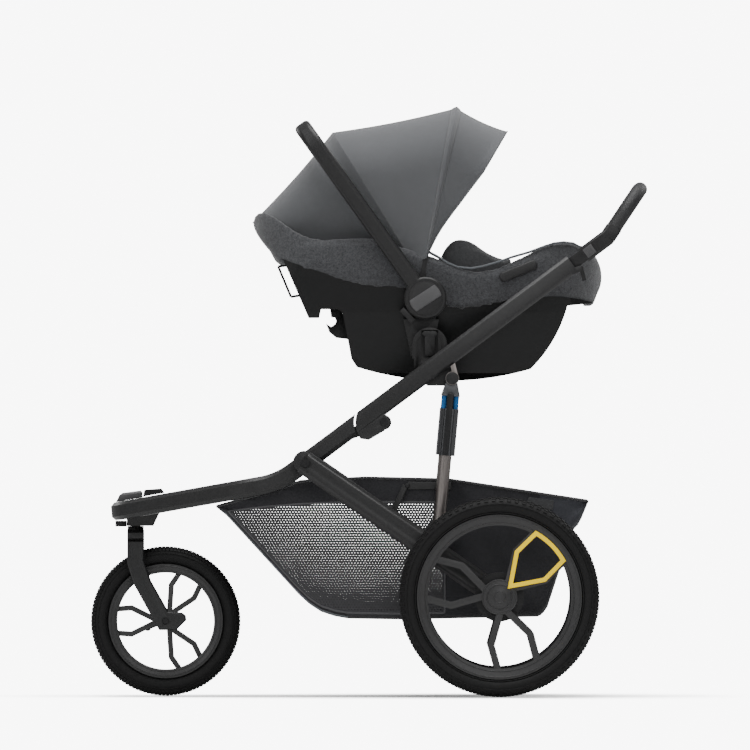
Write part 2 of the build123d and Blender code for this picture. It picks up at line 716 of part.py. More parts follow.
def carrier_bow():
    """The carrying bow: a hub at each end, two straight arms and a rounded crossbar."""
    near, far = bow_arm_inner, bow_arm_inner + bow_arm_width
    middle = (near + far) / 2
    top = polar(bow_hub, bow_reach - 5, bow_slope)
    start = polar(bow_hub, 36, bow_slope)
    points = [Vector(start[0], -middle, start[1]), Vector(top[0], -middle, top[1]),
              Vector(top[0], middle, top[1]), Vector(start[0], middle, start[1])]
    path = FilletPolyline(*points, radius=48)
    along = (points[1] - points[0]).normalized()
    section = Plane(origin=points[0], x_dir=(0, 1, 0), z_dir=along) * RectangleRounded(bow_arm_width, 33.6, 9)
    shape = sweep(section, path=path)
    for side in sides.values():
        hub = pin(bow_hub, 43, *ordered(side, near, far))
        hub = chamfer(hub.edges().sort_by(Axis.Y)[-1 if side > 0 else 0], 3)
        shape += hub
        shape -= pin(bow_hub, 22 + running_gap, *ordered(side, near - 1, 196.4))
        shape -= pin(bow_hub, 34.3, *ordered(side, 202, far + 2))
    keep("carrier_bow", shape)
    for name, side in sides.items():
        disc = pin(bow_hub, 34, *ordered(side, 206.4, 211))
        ends = polar(bow_hub, 33, 33), polar(bow_hub, 33, 213)
        inlay = bar(ends[0], ends[1], 26, *ordered(side, 211, 212.4)) & pin(bow_hub, 32.5, -220, 220)
        keep("bow_release_" + name, disc + inlay)


# Canopy

def bow_plane(name):
    """The plane of one canopy bow, standing on the pivot line across the carrier."""
    angle = math.radians(bow_angles[name])
    up = Vector(math.cos(angle), 0, math.sin(angle))
    return Plane(origin=(canopy_pivot[0], 0, canopy_pivot[1]), x_dir=(0, 1, 0), z_dir=Vector(0, 1, 0).cross(up))


def arch(name, inset, foot):
    """A closed arch: straight feet, round shoulders and a flat crown."""
    half = bow_widths[name] - inset
    crown = bow_radii[name] - inset
    shoulder = min(110, half * 0.62)
    face = outline((-half, foot), (half, foot), (half, crown), (-half, crown))
    return fillet(face.vertices().sort_by(Axis.Y)[-2:], shoulder)


def canopy_panel(first, second, foot):
    """Fabric stretched between two bows."""
    outer = loft([(bow_plane(n) * arch(n, 0, foot)).face() for n in (first, second)], ruled=True)
    inner = loft([(bow_plane(n) * arch(n, fabric_thickness, foot - 20)).face() for n in (first, second)],
                 ruled=True)
    rim_line = Spline((426, 917), (206, 873), (138, 898), (62, 922), (7, 938), (-107, 936), (-162, 956),
                      (-232, 988))
    under = make_face(Curve() + [rim_line, Polyline((-232, 988), (-420, 1040), (-420, 600), (426, 600), (426, 917))])
    panel = outer - inner - slab(under, -260, 260)
    return panel.solids().sort_by(SortBy.VOLUME)[-1]


def canopy_bow(name, foot, width):
    """A flat hoop just inside the fabric."""
    gap = fabric_thickness + bow_clearance
    face = arch(name, gap, foot) - arch(name, gap + 4, foot - 1)
    hoop = extrude(bow_plane(name) * face, width / 2, both=True)
    return hoop


def canopy():
    front = canopy_bow("front", 0, 9)
    for side in sides.values():
        half = bow_widths["front"] - fabric_thickness - bow_clearance
        front += pin(canopy_pivot, 10, *ordered(side, half - 4, half))
    keep("canopy_bow_front", front)
    keep("canopy_bow_mid", canopy_bow("mid", 85, 8))
    keep("canopy_visor_wire", canopy_bow("visor", 60, 5))
    keep("canopy_panel_rear", canopy_panel("rear", "mid", 60))
    keep("canopy_panel_front", canopy_panel("mid", "front", 62))
    keep("canopy_visor", canopy_panel("front", "visor", 64))


def write_steps():
    os.makedirs("parts", exist_ok=True)
    for name, shape in nodes.items():
        export_step(shape, "parts/" + name + ".step")


front_frame()
swivel_lock()
front_fork()
quick_release()
wheels()
rear_frame()
brake_pedal()
basket()
shocks()
upper_frame()
handle()
body = carrier_body()
seat_pad()
harness()
carrier_fittings(body)
carrier_bow()
canopy()
write_steps()
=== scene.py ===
import bpy
import json
import math
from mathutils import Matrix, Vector


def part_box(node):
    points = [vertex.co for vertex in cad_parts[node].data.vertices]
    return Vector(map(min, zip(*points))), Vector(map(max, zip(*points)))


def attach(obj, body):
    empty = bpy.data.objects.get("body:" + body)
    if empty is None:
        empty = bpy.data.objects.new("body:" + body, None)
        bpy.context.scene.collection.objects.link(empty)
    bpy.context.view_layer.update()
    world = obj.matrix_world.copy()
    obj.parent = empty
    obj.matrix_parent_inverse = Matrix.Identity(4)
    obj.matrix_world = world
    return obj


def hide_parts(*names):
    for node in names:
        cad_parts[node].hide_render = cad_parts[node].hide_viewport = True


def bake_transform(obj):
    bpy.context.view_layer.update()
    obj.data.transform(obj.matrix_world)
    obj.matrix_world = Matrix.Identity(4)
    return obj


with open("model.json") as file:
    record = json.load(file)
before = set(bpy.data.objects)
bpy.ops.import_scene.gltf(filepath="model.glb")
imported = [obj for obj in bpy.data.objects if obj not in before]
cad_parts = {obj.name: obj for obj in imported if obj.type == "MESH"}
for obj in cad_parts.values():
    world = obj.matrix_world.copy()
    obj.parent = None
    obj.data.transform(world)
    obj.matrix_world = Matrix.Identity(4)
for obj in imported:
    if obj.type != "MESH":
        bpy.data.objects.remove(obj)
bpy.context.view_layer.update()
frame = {"nodes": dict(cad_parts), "record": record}
nodes = frame["nodes"]
bodyOf = {n: b for b, members in frame["record"]["behaviour"]["bodies"].items() for n in members}
slotOf = {s["node"]: s["material_slot"] for s in frame["record"]["subparts"]}
sides = {"Left": -1, "Right": 1}
print("frame loaded")


# a socket that sums can be written with
class Wire:
    def __init__(self, tree, socket=None):
        self.tree = tree
        self.socket = socket

    def node(self, kind, settings=None, sockets=None, output=0):
        made = self.tree.nodes.new(kind)
        for key, value in (settings or {}).items():
            if key == "stops":
                for place, colour in value[2:]:
                    made.color_ramp.elements.new(place)
                for element, (place, colour) in zip(made.color_ramp.elements, value):
                    element.position = place
                    element.color = (*colour, 1)
            else:
                setattr(made, key, value)
        for key, value in (sockets or {}).items():
            if isinstance(value, Wire):
                self.tree.links.new(value.socket, made.inputs[key])
            else:
                made.inputs[key].default_value = value
        return Wire(self.tree, made.outputs[output])

    def maths(self, operation, first, second=0.0):
        return self.node("ShaderNodeMath", {"operation": operation}, {0: first, 1: second})

    # the same on this socket itself, for what has no sign
    def of(self, operation, second=0.0):
        return self.maths(operation, self, second)

    def __add__(self, other):
        return self.maths("ADD", self, other)

    def __radd__(self, other):
        return self.maths("ADD", other, self)

    def __sub__(self, other):
        return self.maths("SUBTRACT", self, other)

    def __rsub__(self, other):
        return self.maths("SUBTRACT", other, self)

    def __mul__(self, other):
        return self.maths("MULTIPLY", self, other)

    def __rmul__(self, other):
        return self.maths("MULTIPLY", other, self)

    def __truediv__(self, other):
        return self.maths("DIVIDE", self, other)

    def __gt__(self, other):
        return self.maths("GREATER_THAN", self, other)

    def __lt__(self, other):
        return self.maths("LESS_THAN", self, other)

    def stretched(self, x, y, z):
        return self.node("ShaderNodeMapping", {}, {"Vector": self, "Scale": (x, y, z)})

    def noise(self, scale, detail=3.0, roughness=0.55):
        sockets = {"Vector": self, "Scale": scale, "Detail": detail, "Roughness": roughness}
        return self.node("ShaderNodeTexNoise", {}, sockets)

    def cells(self, scale):
        return self.node("ShaderNodeTexVoronoi", {}, {"Vector": self, "Scale": scale})

    def apart(self):
        split = self.tree.nodes.new("ShaderNodeSeparateXYZ")
        self.tree.links.new(self.socket, split.inputs[0])
        return [Wire(self.tree, out) for out in split.outputs]

    def ramp(self, *stops):
        return self.node("ShaderNodeValToRGB", {"stops": stops}, {0: self})

    def between(self, first, second):
        return self.node("ShaderNodeMix", {"data_type": "RGBA"}, {0: self, 6: first, 7: second}, 2)

    def feed(self, shader, name):
        self.tree.links.new(self.socket, shader.inputs[name])

    def bump(self, shader, distance, strength=1.0):
        sockets = {"Height": self, "Distance": distance, "Strength": strength}
        self.node("ShaderNodeBump", {}, sockets).feed(shader, "Normal")


def startMaterial(name, colour, roughness, metallic=0.0, sheen=0.0, specular=0.5, coordinates="Object"):
    material = bpy.data.materials.new(name)
    material.use_nodes = True
    shader = material.node_tree.nodes["Principled BSDF"]
    fixed = {"Base Color": (*colour, 1), "Roughness": roughness, "Metallic": metallic,
             "Sheen Weight": sheen, "Sheen Roughness": 0.5, "Specular IOR Level": specular}
    for key, value in fixed.items():
        shader.inputs[key].default_value = value
    place = Wire(material.node_tree).node("ShaderNodeTexCoord", {}, {}, coordinates)
    return material, shader, place


def shades(colour, spread):
    return (*[c * (1 - spread) for c in colour], 1), (*[c * (1 + spread) for c in colour], 1)


# moulded or powder-coated finish: fine grain, soft mottling and uneven gloss
def grained(name, colour, roughness, grain=1400, depth=0.00012, spread=0.22, **fixed):
    material, shader, place = startMaterial(name, colour, roughness, **fixed)
    mottle = place.noise(26)
    dust = place.noise(210, 4)
    (mottle * 0.6 + dust * 0.4).between(*shades(colour, spread)).feed(shader, "Base Color")
    (roughness - 0.09 + 0.18 * dust).feed(shader, "Roughness")
    (place.noise(grain, 2) + 0.5 * place.noise(grain * 0.3, 2)).bump(shader, depth)
    return material


# drawn metal: fine lines along one axis
def brushed(name, colour, roughness, along=(900, 900, 30)):
    material, shader, place = startMaterial(name, colour, roughness, metallic=1.0)
    lines = place.stretched(*along).noise(1, 3)
    lines.between(*shades(colour, 0.2)).feed(shader, "Base Color")
    (roughness - 0.1 + 0.25 * lines).feed(shader, "Roughness")
    lines.bump(shader, 0.00006)
    return material


# plain weave on a sheet's own width and length, with slubs, and a sewn line beside each edge
def woven(name, colour, threads=1100, seam=0.011, sheen=0.25):
    material, shader, place = startMaterial(name, colour, 0.82, sheen=sheen, coordinates="UV")
    across, along, _ = place.apart()
    warp = (across * threads * math.pi).of("SINE")
    weft = (along * threads * math.pi).of("SINE")
    slubs = place.stretched(60, 700, 1).noise(1, 4) * 0.5 + place.stretched(700, 60, 1).noise(1, 4) * 0.5
    cloudy = place.noise(9)
    tone = slubs * 0.75 + cloudy * 0.25
    sewn = (along - seam).of("ABSOLUTE") < 0.0011
    stitch = (across * 190).of("FRACT") < 0.68
    line = sewn * (0.45 + 0.55 * stitch)
    cloth = tone.between(*shades(colour, 0.2))
    line.between(cloth, (*[c * 0.7 for c in colour], 1)).feed(shader, "Base Color")
    (0.74 + 0.16 * slubs).feed(shader, "Roughness")
    (warp * weft * 0.3 + slubs - 1.6 * line + 1.2 * cloudy).bump(shader, 0.0004)
    return material


# heathered cloth of light and dark threads
def melange(name, dark, light):
    material, shader, place = startMaterial(name, dark, 0.88, sheen=0.3)
    level = place.stretched(300, 300, 1300).noise(1, 4, 0.75)
    upright = place.stretched(1200, 1200, 260).noise(1, 4, 0.75)
    blotch = place.noise(190, 5, 0.75)
    tone = level * 0.45 + upright * 0.3 + blotch * 0.25
    between = [(d * 2 + b) / 3 for d, b in zip(dark, light)]
    tone.ramp((0.42, dark), (0.60, light), (0.51, between)).feed(shader, "Base Color")
    (0.8 + 0.15 * level).feed(shader, "Roughness")
    (level + upright + 0.6 * blotch).bump(shader, 0.0007)
    return material


# knotted mesh inside the window of the bag's side, closed cloth elsewhere, a paler cuff at the back
def bagCloth(name, colour, pitch=0.0060, hole=0.25):
    material, shader, place = startMaterial(name, colour, 0.75, sheen=0.15)
    x, y, z = place.apart()

    def knots(shift):
        u = (x / pitch + shift).of("FRACT") - 0.5
        v = ((z / (pitch * 1.732) + shift).of("FRACT") - 0.5) * 1.732
        return (u * u + v * v).of("SQRT")

    nearest = knots(0.0).of("MINIMUM", knots(0.5))
    window = place.node("ShaderNodeAttribute", {"attribute_name": "window"}, {}, "Fac")
    cuff = place.node("ShaderNodeAttribute", {"attribute_name": "cuff"}, {}, "Fac")
    (1 - (window > 0.0) * (nearest < hole)).feed(shader, "Alpha")
    upright = place.stretched(700, 700, 120).noise(1, 3)
    level = place.stretched(120, 120, 700).noise(1, 3)
    weave = upright * 0.5 + level * 0.5
    base = weave.between(*shades(colour, 0.35))
    knit = (window > 0.0).between(base, (0.035, 0.035, 0.038, 1))
    paler = (cuff > 0.0).between(knit, (0.021, 0.023, 0.030, 1))
    hem = (window + 0.0025).of("ABSOLUTE") < 0.0016
    hem.between(paler, (0.07, 0.07, 0.075, 1)).feed(shader, "Base Color")
    (0.62 + 0.25 * weave).feed(shader, "Roughness")
    (weave + 1.5 * hem).bump(shader, 0.0006)
    return material


def dimpled(name, colour):
    material, shader, place = startMaterial(name, colour, 0.55)
    pits = place.cells(380)
    creases = place.noise(90, 4)
    (pits * 0.7 + creases * 0.3).between(*shades(colour, 0.45)).feed(shader, "Base Color")
    (0.42 + 0.3 * creases).feed(shader, "Roughness")
    (pits + 0.3 * creases).bump(shader, 0.0006)
    return material


def rubber(name, colour):
    material, shader, place = startMaterial(name, colour, 0.62, specular=0.25)
    dust = place.noise(70, 5)
    fine = place.noise(900, 2)
    dust.between(*shades(colour, 0.5)).feed(shader, "Base Color")
    (0.5 + 0.25 * dust).feed(shader, "Roughness")
    (fine + dust).bump(shader, 0.0003)
    return material


finish = {
    "frame_metal": grained("powderCoat", (0.0115, 0.0115, 0.012), 0.38, specular=0.42),
    "steel": brushed("satinSteel", (0.50, 0.49, 0.47), 0.35),
    "dark_steel": brushed("blackenedSteel", (0.035, 0.035, 0.036), 0.4),
    "sleeve_metal": brushed("gunmetal", (0.11, 0.112, 0.117), 0.38, (700, 700, 40)),
    "shock_metal": brushed("bronzedAlloy", (0.23, 0.21, 0.20), 0.36, (700, 700, 40)),
    "black_plastic": grained("mattePlastic", (0.008, 0.008, 0.0085), 0.45, specular=0.4),
    "shell_plastic": grained("shellPlastic", (0.004, 0.004, 0.0042), 0.36, grain=900, depth=0.0001,
                             specular=0.3),
    "grey_plastic": grained("greyPlastic", (0.060, 0.060, 0.062), 0.5),
    "tyre_rubber": rubber("tyreRubber", (0.0048, 0.0048, 0.005)),
    "rim_plastic": grained("rimPlastic", (0.020, 0.020, 0.0205), 0.4),
    "basket_fabric": bagCloth("bagCloth", (0.0085, 0.0085, 0.0115)),
    "canopy_fabric": woven("canopyCloth", (0.074, 0.077, 0.082)),
    "melange_fabric": melange("heatherCloth", (0.0095, 0.0099, 0.011), (0.084, 0.087, 0.094)),
    "pad_fabric": melange("insertKnit", (0.018, 0.0187, 0.020), (0.044, 0.0455, 0.048)),
    "grip_leather": dimpled("gripLeather", (0.016, 0.016, 0.017)),
    "elastomer": rubber("blueRubber", (0.014, 0.115, 0.33)),
}
accentPaint = grained("yellowPlastic", (0.90, 0.62, 0.0), 0.5, spread=0.04, specular=0.12)
accentShader = accentPaint.node_tree.nodes["Principled BSDF"]
# the yellow strip also glows a little through emission: painted light that brightens it, though it is no lamp
accentShader.inputs["Emission Color"].default_value = (0.90, 0.62, 0.0, 1)
accentShader.inputs["Emission Strength"].default_value = 0.3
pipingCloth = grained("pipingCloth", (0.095, 0.103, 0.112), 0.8, grain=900, depth=0.0004)
darkTrim = grained("darkTrim", (0.008, 0.008, 0.0085), 0.5)

for nodeName, cadPiece in nodes.items():
    if cadPiece.material_slots:
        cadPiece.material_slots[0].material = finish[slotOf[nodeName]]
    else:
        cadPiece.data.materials.append(finish[slotOf[nodeName]])
print("finishes made")


def clearSelection():
    if bpy.context.mode != "OBJECT":
        bpy.ops.object.mode_set(mode="OBJECT")
    bpy.ops.object.select_all(action="DESELECT")


def pick(piece):
    clearSelection()
    piece.select_set(True)
    bpy.context.view_layer.objects.active = piece


def edit(piece):
    pick(piece)
    bpy.ops.object.mode_set(mode="EDIT")
    bpy.ops.mesh.select_all(action="SELECT")


def outward(piece):
    edit(piece)
    bpy.ops.mesh.remove_doubles(threshold=0.00001)
    bpy.ops.mesh.normals_make_consistent(inside=False)
    bpy.ops.object.mode_set(mode="OBJECT")


def useModifier(piece, kind, **settings):
    pick(piece)
    modifier = piece.modifiers.new(kind.title(), kind)
    for key, value in settings.items():
        setattr(modifier, key, value)
    bpy.ops.object.modifier_apply(modifier=modifier.name)


# names, paints and smooths a piece, and lets it ride on a body
def settle(piece, name, material, body=None, smooth=38):
    pick(piece)
    bpy.ops.object.transform_apply(location=True, rotation=True, scale=True)
    piece.name = name
    piece.data.name = name
    piece.data.materials.clear()
    piece.data.materials.append(material)
    if smooth:
        bpy.ops.object.shade_smooth_by_angle(angle=math.radians(smooth))
    if body:
        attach(piece, body)
    return piece


def meshPiece(name, points, faces):
    data = bpy.data.meshes.new(name)
    data.from_pydata(points, [], faces)
    data.update()
    piece = bpy.data.objects.new(name, data)
    bpy.context.scene.collection.objects.link(piece)
    return piece


def copyOfNode(node, name):
    piece = bpy.data.objects.new(name, nodes[node].data.copy())
    bpy.context.scene.collection.objects.link(piece)
    edit(piece)
    bpy.ops.mesh.remove_doubles(threshold=0.00002)
    bpy.ops.object.mode_set(mode="OBJECT")
    if piece.data.has_custom_normals:
        bpy.ops.mesh.customdata_custom_splitnormals_clear()
    return piece


# rounds the sharp edges of a frame piece, so that they catch the light
def roundEdges(node, width):
    parts = node.split("_")
    name = parts[0] + "".join(p.title() for p in parts[1:])
    piece = copyOfNode(node, name)
    edit(piece)
    bpy.ops.mesh.dissolve_limited(angle_limit=math.radians(0.6))
    bpy.ops.object.mode_set(mode="OBJECT")
    useModifier(piece, "BEVEL", width=width, segments=2, limit_method="ANGLE",
                angle_limit=math.radians(32), use_clamp_overlap=True, miter_outer="MITER_ARC")
    settle(piece, name, finish[slotOf[node]], bodyOf[node], 40)
    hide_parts(node)


softEdges = {
    0.0015: ["handle_stems", "rear_arm_left", "rear_arm_right", "fork_legs", "fork_crown", "head_housing",
             "nose_cover", "adapters", "side_brackets", "upper_rail_left", "upper_rail_right"],
    0.001: ["front_spider", "rear_spider_left", "rear_spider_right", "quick_release_lever", "clamp_levers",
            "brake_pedal", "shock_clevises", "head_latch", "bow_release_left", "bow_release_right"],
    0.0006: ["handle_button_left", "handle_button_right", "adapter_buttons", "shock_brackets"],
}
for edgeWidth, edgeNodes in softEdges.items():
    for edgeNode in edgeNodes:
        roundEdges(edgeNode, edgeWidth)
inlayFace = 0.2112        # nearer the middle than this, the bow's discs are black
for side in sides:
    disc = bpy.data.objects["bowRelease" + side]
    disc.data.materials.append(finish["black_plastic"])
    for face in disc.data.polygons:
        face.material_index = 0 if abs(face.center.y) > inlayFace else 1
print("frame edges rounded")


tyreShape = {"height": 0.036, "lug": 0.0021, "lugPitch": 0.0081, "lugRow": 0.0065, "around": 22,
             "treadReach": 0.0085}


# a round section spun about the axle, with staggered tread blocks raised on its outer band
def buildTyre(node, name):
    low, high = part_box(node)
    centre = (low + high) / 2
    radius = (high.x - low.x) / 2
    steps = 2 * round(math.pi * radius / tyreShape["lugPitch"])
    crown = radius - tyreShape["lug"]
    bead = radius - tyreShape["height"] - 0.002
    middle = (crown + bead) / 2
    clearSelection()
    bpy.ops.mesh.primitive_circle_add(vertices=tyreShape["around"], radius=1, rotation=(0, math.pi / 2, 0),
                                      location=(centre.x, centre.y, centre.z + middle))
    piece = bpy.context.object
    piece.scale = (crown - middle, (high.y - low.y) / 2 - 0.0006, 1)
    bpy.ops.object.transform_apply(location=True, rotation=True, scale=True)
    edit(piece)
    bpy.ops.mesh.spin(steps=steps, angle=2 * math.pi, center=centre, axis=(0, 1, 0))
    outward(piece)
    for face in piece.data.polygons:
        reach = math.hypot(face.center.x - centre.x, face.center.z - centre.z)
        turn = math.atan2(face.center.z - centre.z, face.center.x - centre.x) / (2 * math.pi) + 0.5
        row = round((face.center.y - centre.y) / tyreShape["lugRow"])
        staggered = (int(turn * steps + 0.25) + abs(row)) % 2 == 0
        face.select = reach > crown - tyreShape["treadReach"] and staggered
    for group in (piece.data.vertices, piece.data.edges):
        for element in group:
            element.select = False
    bpy.ops.object.mode_set(mode="EDIT")
    bpy.ops.mesh.select_mode(type="FACE")
    bpy.ops.mesh.inset(thickness=0.0007, depth=tyreShape["lug"], use_individual=True)
    bpy.ops.object.mode_set(mode="OBJECT")
    settle(piece, name, finish["tyre_rubber"], bodyOf[node], 28)
    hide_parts(node)


for node, name in {"front_tyre": "frontTyre", "rear_tyre_left": "rearTyreLeft",
                   "rear_tyre_right": "rearTyreRight"}.items():
    buildTyre(node, name)
print("tyres built")


rimTrim = {"lip": 0.0013, "inset": 0.0045, "face": 0.0145}


# a raised lip each side of the rim, where the tyre's bead ends
def rimLips(node, name):
    low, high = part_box(node)
    centre = (low + high) / 2
    seat = (high.x - low.x) / 2
    for side, hand in sides.items():
        clearSelection()
        bpy.ops.mesh.primitive_torus_add(major_segments=96, minor_segments=8,
                                         major_radius=seat - rimTrim["inset"], minor_radius=rimTrim["lip"],
                                         location=(centre.x, centre.y + hand * rimTrim["face"], centre.z),
                                         rotation=(math.pi / 2, 0, 0))
        settle(bpy.context.object, name + "Lip" + side, finish["rim_plastic"], bodyOf[node],
               60)


# thin rings about an axle: radius, radius of the section, and distance out from the wheel's middle
wheelRings = {
    "hubRingOuter": {"node": "rear_rim", "reach": 0.0345, "thick": 0.0016, "out": 0.0118},
    "hubRingMiddle": {"node": "rear_rim", "reach": 0.0255, "thick": 0.0014, "out": 0.0122},
    "hubRingInner": {"node": "rear_rim", "reach": 0.0118, "thick": 0.0012, "out": 0.0184},
    "rimStep": {"node": "rear_rim", "reach": 0.1505, "thick": 0.0011, "out": 0.0125},
    "tyreBead": {"node": "rear_tyre", "reach": 0.1705, "thick": 0.0014, "out": 0.0165},
    "tyreLine": {"node": "rear_tyre", "reach": 0.1885, "thick": 0.0009, "out": 0.0208},
    "frontRimStep": {"node": "front_rim", "reach": 0.1035, "thick": 0.0010, "out": 0.0122},
    "frontTyreLine": {"node": "front_tyre", "reach": 0.1375, "thick": 0.0009, "out": 0.0193},
}


def wheelRing(name, side):
    ring = wheelRings[name]
    node = ring["node"]
    if node.startswith("rear"):
        node += "_" + side.lower()
    low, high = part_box(node)
    centre = (low + high) / 2
    clearSelection()
    bpy.ops.mesh.primitive_torus_add(major_segments=72, minor_segments=8, major_radius=ring["reach"],
                                     minor_radius=ring["thick"], rotation=(math.pi / 2, 0, 0),
                                     location=(centre.x, centre.y + sides[side] * ring["out"], centre.z))
    material = finish["tyre_rubber" if "tyre" in node else "rim_plastic"]
    settle(bpy.context.object, name + side, material, bodyOf[node], 60)


for side in sides:
    for ringName in wheelRings:
        wheelRing(ringName, side)
for node, name in {"front_rim": "frontRim", "rear_rim_left": "rearRimLeft",
                   "rear_rim_right": "rearRimRight"}.items():
    rimLips(node, name)


accent = {"tip": 0.0235, "bend": 0.0985, "bendSpread": 26.6, "rim": 0.1535, "rimSpread": 16.4, "angle": 45,
          "width": 0.0088, "face": 0.3118, "thick": 0.0048}


# the yellow strip along one pair of spokes and the rim between them
def accentBand(side):
    low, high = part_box("rear_rim_" + side.lower())
    hub = (low + high) / 2
    corners = [(accent["tip"], 0), (accent["bend"], accent["bendSpread"])]
    for step in range(7):
        corners.append((accent["rim"], accent["rimSpread"] * (1 - step / 3)))
    corners.append((accent["bend"], -accent["bendSpread"]))
    clearSelection()
    bpy.ops.mesh.primitive_circle_add(vertices=len(corners), radius=0.1, fill_type="NGON")
    piece = bpy.context.object
    for vertex, (reach, spread) in zip(piece.data.vertices, corners):
        angle = math.radians(accent["angle"] + spread)
        vertex.co = (hub.x + reach * math.cos(angle), sides[side] * accent["face"],
                     hub.z + reach * math.sin(angle))
    edit(piece)
    bpy.ops.mesh.inset(thickness=accent["width"])
    bpy.ops.mesh.delete(type="FACE")
    bpy.ops.mesh.select_all(action="SELECT")
    bpy.ops.mesh.extrude_region_move(
        TRANSFORM_OT_translate={"value": (0, sides[side] * accent["thick"], 0)})
    outward(piece)
    useModifier(piece, "BEVEL", width=0.0007, segments=2, limit_method="ANGLE")
    settle(piece, "accentBand" + side, accentPaint, "rear_wheel_" + side.lower(), 40)


for side in sides:
    accentBand(side)
print("wheels trimmed")


canopyShape = {
    "pivot": (0.106, 0.851),
    "angle": {"rear": 162.0, "mid": 121.6, "front": 78.4, "visor": 59.7},
    "crown": {"rear": 0.362, "mid": 0.3463, "front": 0.3517, "visor": 0.3438},
    "half": {"rear": 0.126, "mid": 0.172, "front": 0.1865, "visor": 0.172},
    # where the lower edge lies: turn about the pivot, and distance from it
    "foot": [(163, 0.175), (155.6, 0.165), (147.6, 0.128), (140.1, 0.105), (123.5, 0.058), (93.8, 0.035),
             (78.4, 0.040), (73, 0.060), (69, 0.100), (65.3, 0.137), (62.9, 0.170), (60.8, 0.215),
             (59.7, 0.25)],
    "shoulder": 0.108, "camber": 0.004, "thick": 0.0018, "sag": 0.004, "sleeve": 0.0032, "sleeveHalf": 0.0095,
    "legRows": 16, "archRows": 12, "crownRows": 10,
    # how far before and after its hoop each sheet's bend would reach; the sheets are left unbent
    "bend": {"rear": (0.19, 0.0), "front": (0.235, 0.235), "visor": (0.0, 0.105)},
}


def footAt(angle):
    pairs = canopyShape["foot"]
    for (high, first), (low, second) in zip(pairs[:-1], pairs[1:]):
        if low <= angle <= high:
            return first + (second - first) * (high - angle) / (high - low)
    return pairs[0][1] if angle > pairs[0][0] else pairs[-1][1]


# points (y, height) of a hoop from its left foot over the crown to its right foot
def hoopPoints(half, crown, foot):
    camber = canopyShape["camber"]
    shoulder = min(canopyShape["shoulder"], half * 0.62, max(crown - foot - 0.01, 0.01))
    leg = [(-half, foot + (crown - shoulder - foot) * i / canopyShape["legRows"])
           for i in range(canopyShape["legRows"])]
    for i in range(canopyShape["archRows"]):
        turn = math.pi / 2 * i / canopyShape["archRows"]
        leg.append((-half + shoulder * (1 - math.cos(turn)), crown - shoulder * (1 - math.sin(turn))))
    for i in range(canopyShape["crownRows"]):
        y = (shoulder - half) * (1 - i / canopyShape["crownRows"])
        fall = camber * (1 - ((half - shoulder) / half) ** 2)
        leg.append((y, crown + camber * (1 - (y / half) ** 2) - fall))
    top = (0, crown + camber * ((half - shoulder) / half) ** 2)
    return leg + [top] + [(-y, h) for y, h in reversed(leg)]


# one sheet of cloth between two hoops, drawn in a little half-way
def canopySheet(name, first, second, columns):
    shape = canopyShape
    low, high = shape["angle"][first], shape["angle"][second]
    span = math.radians(low - high)
    points, faces, across = [], [], []
    shares = [column / columns for column in range(columns + 1)]
    if second == "front":
        shares[-1:] = [0.955, 0.965, 0.975, 0.99, 1.0]
    if first == "front":
        shares[:1] = [0.0, 0.02, 0.055, 0.075, 0.09]
    for t in shares:
        angle = low + (high - low) * t
        beside = abs(math.radians(angle - shape["angle"]["front"])) * shape["crown"]["front"]
        near, far = shape["crown"][first], shape["crown"][second]
        crown = near * far * math.sin(span) / (near * math.sin(t * span) + far * math.sin((1 - t) * span))
        slack = shape["sag"] * 4 * t * (1 - t)
        ridge = shape["sleeve"] * math.sqrt(max(0.0, 1 - (beside / shape["sleeveHalf"]) ** 2))
        half = shape["half"][first] * (1 - t) + shape["half"][second] * t - slack * 0.7 + ridge
        hoop = hoopPoints(half, crown - slack + ridge, footAt(angle))
        rows = len(hoop)
        up = (math.cos(math.radians(angle)), math.sin(math.radians(angle)))
        for y, height in hoop:
            points.append((shape["pivot"][0] + up[0] * height, y, shape["pivot"][1] + up[1] * height))
            across.append(beside)
    for column in range(len(shares) - 1):
        for row in range(rows - 1):
            a = column * rows + row
            faces.append((a, a + rows, a + rows + 1, a + 1))
    piece = meshPiece(name, points, faces)
    lengths = [0.0]
    for row in range(1, rows):
        lengths.append(lengths[-1] + (Vector(points[row]) - Vector(points[row - 1])).length)
    layer = piece.data.uv_layers.new(name="cloth")
    for loop in piece.data.loops:
        layer.data[loop.index].uv = (lengths[loop.vertex_index % rows], across[loop.vertex_index])
    middle = piece.data.polygons[rows // 2]
    if middle.normal.z < 0:
        piece.data.flip_normals()
    print(name, "area", round(sum(face.area for face in piece.data.polygons), 4))
    useModifier(piece, "SUBSURF", levels=1, render_levels=1)
    useModifier(piece, "SOLIDIFY", thickness=shape["thick"], offset=-1)
    return settle(piece, name, finish["canopy_fabric"], None, 70)


# a point of the side plane at an angle and a distance from the canopy's pivot
def canopyPoint(angle, reach):
    turn = math.radians(angle)
    x, z = canopyShape["pivot"]
    return (x + reach * math.cos(turn), 0, z + reach * math.sin(turn))


# points before and after a hoop, square to its plane, where a bend of its sheet would start and end
def acrossHoop(hoop, before, after):
    turn = math.radians(canopyShape["angle"][hoop])
    square = Vector((math.sin(turn), 0, -math.cos(turn)))
    centre = Vector(canopyPoint(canopyShape["angle"][hoop], 0.25))
    return centre - square * before, centre + square * after


def buildCanopy():
    rear = canopySheet("canopyRear", "rear", "mid", 14)
    front = canopySheet("canopyFront", "mid", "front", 18)
    visor = canopySheet("canopyVisor", "front", "visor", 10)
    start, end = acrossHoop("mid", *canopyShape["bend"]["rear"])
    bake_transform(rear)
    start, end = acrossHoop("mid", *canopyShape["bend"]["front"])
    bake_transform(front)
    start, end = acrossHoop("front", *canopyShape["bend"]["visor"])
    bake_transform(visor)
    for piece, node in ((rear, "canopy_panel_rear"), (front, "canopy_panel_front"), (visor, "canopy_visor")):
        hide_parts(node)
    return rear, front, visor


canopyRear, canopyFront, canopyVisor = buildCanopy()
print("canopy built")


